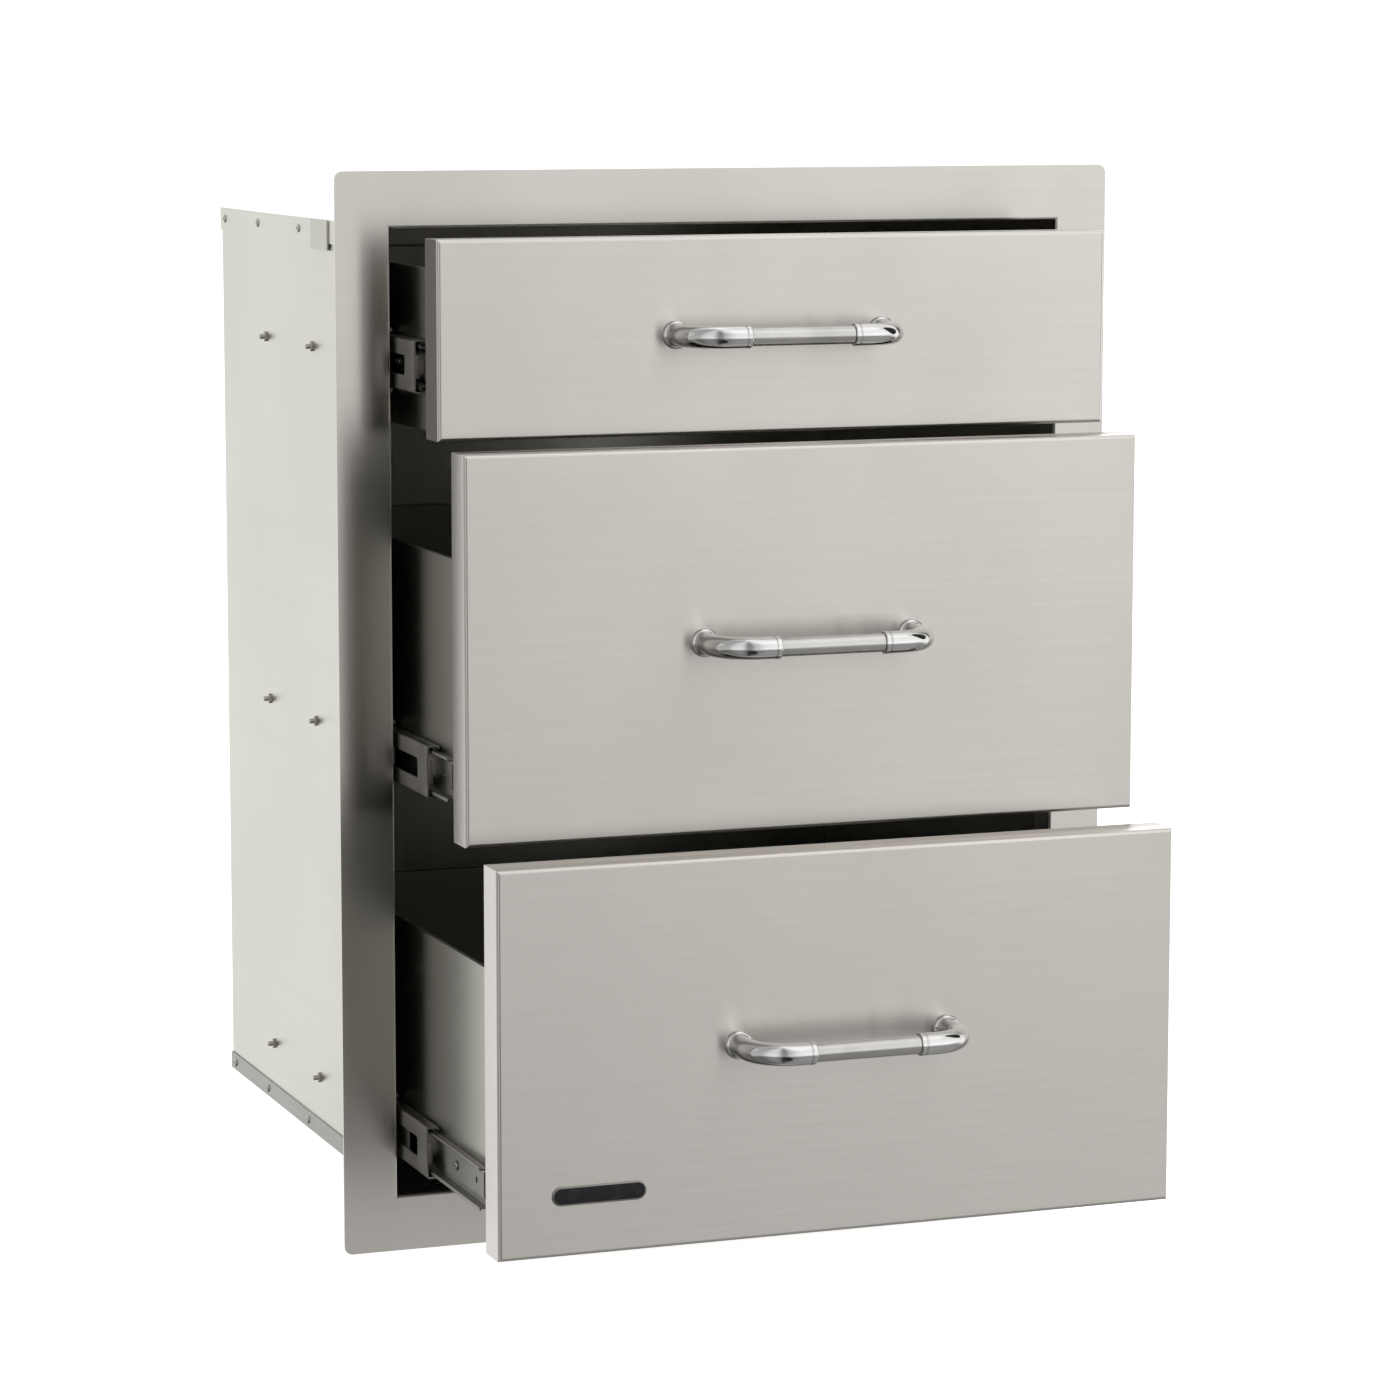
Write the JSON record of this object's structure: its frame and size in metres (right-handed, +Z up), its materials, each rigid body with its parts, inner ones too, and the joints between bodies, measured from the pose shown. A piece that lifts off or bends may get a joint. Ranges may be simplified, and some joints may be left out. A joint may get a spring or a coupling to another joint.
{
  "type": "outdoor kitchen drawer unit",
  "caption": "Built-in outdoor kitchen unit: a flat face frame on a sheet steel box, with a shallow drawer above deep ones on ball bearing slides, each with a bar handle.",
  "frame": {"origin": "bottom centre of the face frame's rear face, which bears on the island", "axes": "+X to the right as the user faces the drawers, +Y into the island, +Z up"},
  "size_m": [0.583, 0.7152, 0.762],
  "materials": {
    "brushed_steel": "fine brushed stainless sheet",
    "chrome": "polished",
    "slide_zinc": "zinc plated",
    "cage_steel": "thin pressed strip",
    "black_plastic": "matt moulded",
    "black_enamel": "black enamel"
  },
  "bodies": {
    "cabinet": {"face_frame": "brushed_steel", "left_side_panel": "brushed_steel", "right_side_panel": "brushed_steel", "top_panel": "brushed_steel", "bottom_panel": "brushed_steel", "back_panel": "brushed_steel", "mounting_clips": "brushed_steel", "cabinet_slide_1_left": "slide_zinc", "cabinet_slide_1_right": "slide_zinc", "cabinet_slide_2_left": "slide_zinc", "cabinet_slide_2_right": "slide_zinc", "cabinet_slide_3_left": "slide_zinc", "cabinet_slide_3_right": "slide_zinc"},
    "middle_1": {"middle_slide_1_left": "slide_zinc", "middle_slide_1_right": "slide_zinc", "middle_bumpers_1": "black_plastic"},
    "drawer_1": {"drawer_1_front_pan": "brushed_steel", "drawer_1_front_liner": "brushed_steel", "drawer_1_tray": "brushed_steel", "drawer_1_tray_back": "brushed_steel", "drawer_1_handle_elbows": "chrome", "drawer_1_handle_bar": "chrome", "drawer_1_slide_left": "slide_zinc", "drawer_1_slide_right": "slide_zinc"},
    "outer_cages_1": {"outer_cages_1": "cage_steel"},
    "inner_cages_1": {"inner_cages_1": "cage_steel"},
    "middle_2": {"middle_slide_2_left": "slide_zinc", "middle_slide_2_right": "slide_zinc", "middle_bumpers_2": "black_plastic"},
    "drawer_2": {"drawer_2_front_pan": "brushed_steel", "drawer_2_front_liner": "brushed_steel", "drawer_2_tray": "brushed_steel", "drawer_2_tray_back": "brushed_steel", "drawer_2_handle_elbows": "chrome", "drawer_2_handle_bar": "chrome", "drawer_2_slide_left": "slide_zinc", "drawer_2_slide_right": "slide_zinc"},
    "outer_cages_2": {"outer_cages_2": "cage_steel"},
    "inner_cages_2": {"inner_cages_2": "cage_steel"},
    "middle_3": {"middle_slide_3_left": "slide_zinc", "middle_slide_3_right": "slide_zinc", "middle_bumpers_3": "black_plastic"},
    "drawer_3": {"drawer_3_front_pan": "brushed_steel", "drawer_3_front_liner": "brushed_steel", "drawer_3_tray": "brushed_steel", "drawer_3_tray_back": "brushed_steel", "drawer_3_handle_elbows": "chrome", "drawer_3_handle_bar": "chrome", "drawer_3_slide_left": "slide_zinc", "drawer_3_slide_right": "slide_zinc", "drawer_3_badge_plate": "black_enamel"},
    "outer_cages_3": {"outer_cages_3": "cage_steel"},
    "inner_cages_3": {"inner_cages_3": "cage_steel"}
  },
  "joints": [
    {"name": "middle_1_slide", "type": "slide", "parent": "cabinet", "child": "middle_1", "axis": [0, -1, 0], "range_m": [-0.0763, 0.1237]},
    {"name": "drawer_1_slide", "type": "slide", "parent": "middle_1", "child": "drawer_1", "axis": [0, -1, 0], "range_m": [-0.0162, 0.1838]},
    {"name": "outer_cages_1_slide", "type": "slide", "parent": "cabinet", "child": "outer_cages_1", "axis": [0, -1, 0], "range_m": [-0.03815, 0.06185]},
    {"name": "inner_cages_1_slide", "type": "slide", "parent": "middle_1", "child": "inner_cages_1", "axis": [0, -1, 0], "range_m": [-0.0081, 0.0919]},
    {"name": "middle_2_slide", "type": "slide", "parent": "cabinet", "child": "middle_2", "axis": [0, -1, 0], "range_m": [-0.0997, 0.1003]},
    {"name": "drawer_2_slide", "type": "slide", "parent": "middle_2", "child": "drawer_2", "axis": [0, -1, 0], "range_m": [-0.0489, 0.1511]},
    {"name": "outer_cages_2_slide", "type": "slide", "parent": "cabinet", "child": "outer_cages_2", "axis": [0, -1, 0], "range_m": [-0.04985, 0.05015]},
    {"name": "inner_cages_2_slide", "type": "slide", "parent": "middle_2", "child": "inner_cages_2", "axis": [0, -1, 0], "range_m": [-0.02445, 0.07555]},
    {"name": "middle_3_slide", "type": "slide", "parent": "cabinet", "child": "middle_3", "axis": [0, -1, 0], "range_m": [-0.0923, 0.1077]},
    {"name": "drawer_3_slide", "type": "slide", "parent": "middle_3", "child": "drawer_3", "axis": [0, -1, 0], "range_m": [-0.1222, 0.0778]},
    {"name": "outer_cages_3_slide", "type": "slide", "parent": "cabinet", "child": "outer_cages_3", "axis": [0, -1, 0], "range_m": [-0.04615, 0.05385]},
    {"name": "inner_cages_3_slide", "type": "slide", "parent": "middle_3", "child": "inner_cages_3", "axis": [0, -1, 0], "range_m": [-0.0611, 0.0389]}
  ],
  "couplings": [
    {"joint": "outer_cages_1_slide", "follows": "middle_1_slide", "ratio": 0.5},
    {"joint": "inner_cages_1_slide", "follows": "drawer_1_slide", "ratio": 0.5},
    {"joint": "outer_cages_2_slide", "follows": "middle_2_slide", "ratio": 0.5},
    {"joint": "inner_cages_2_slide", "follows": "drawer_2_slide", "ratio": 0.5},
    {"joint": "outer_cages_3_slide", "follows": "middle_3_slide", "ratio": 0.5},
    {"joint": "inner_cages_3_slide", "follows": "drawer_3_slide", "ratio": 0.5}
  ]
}
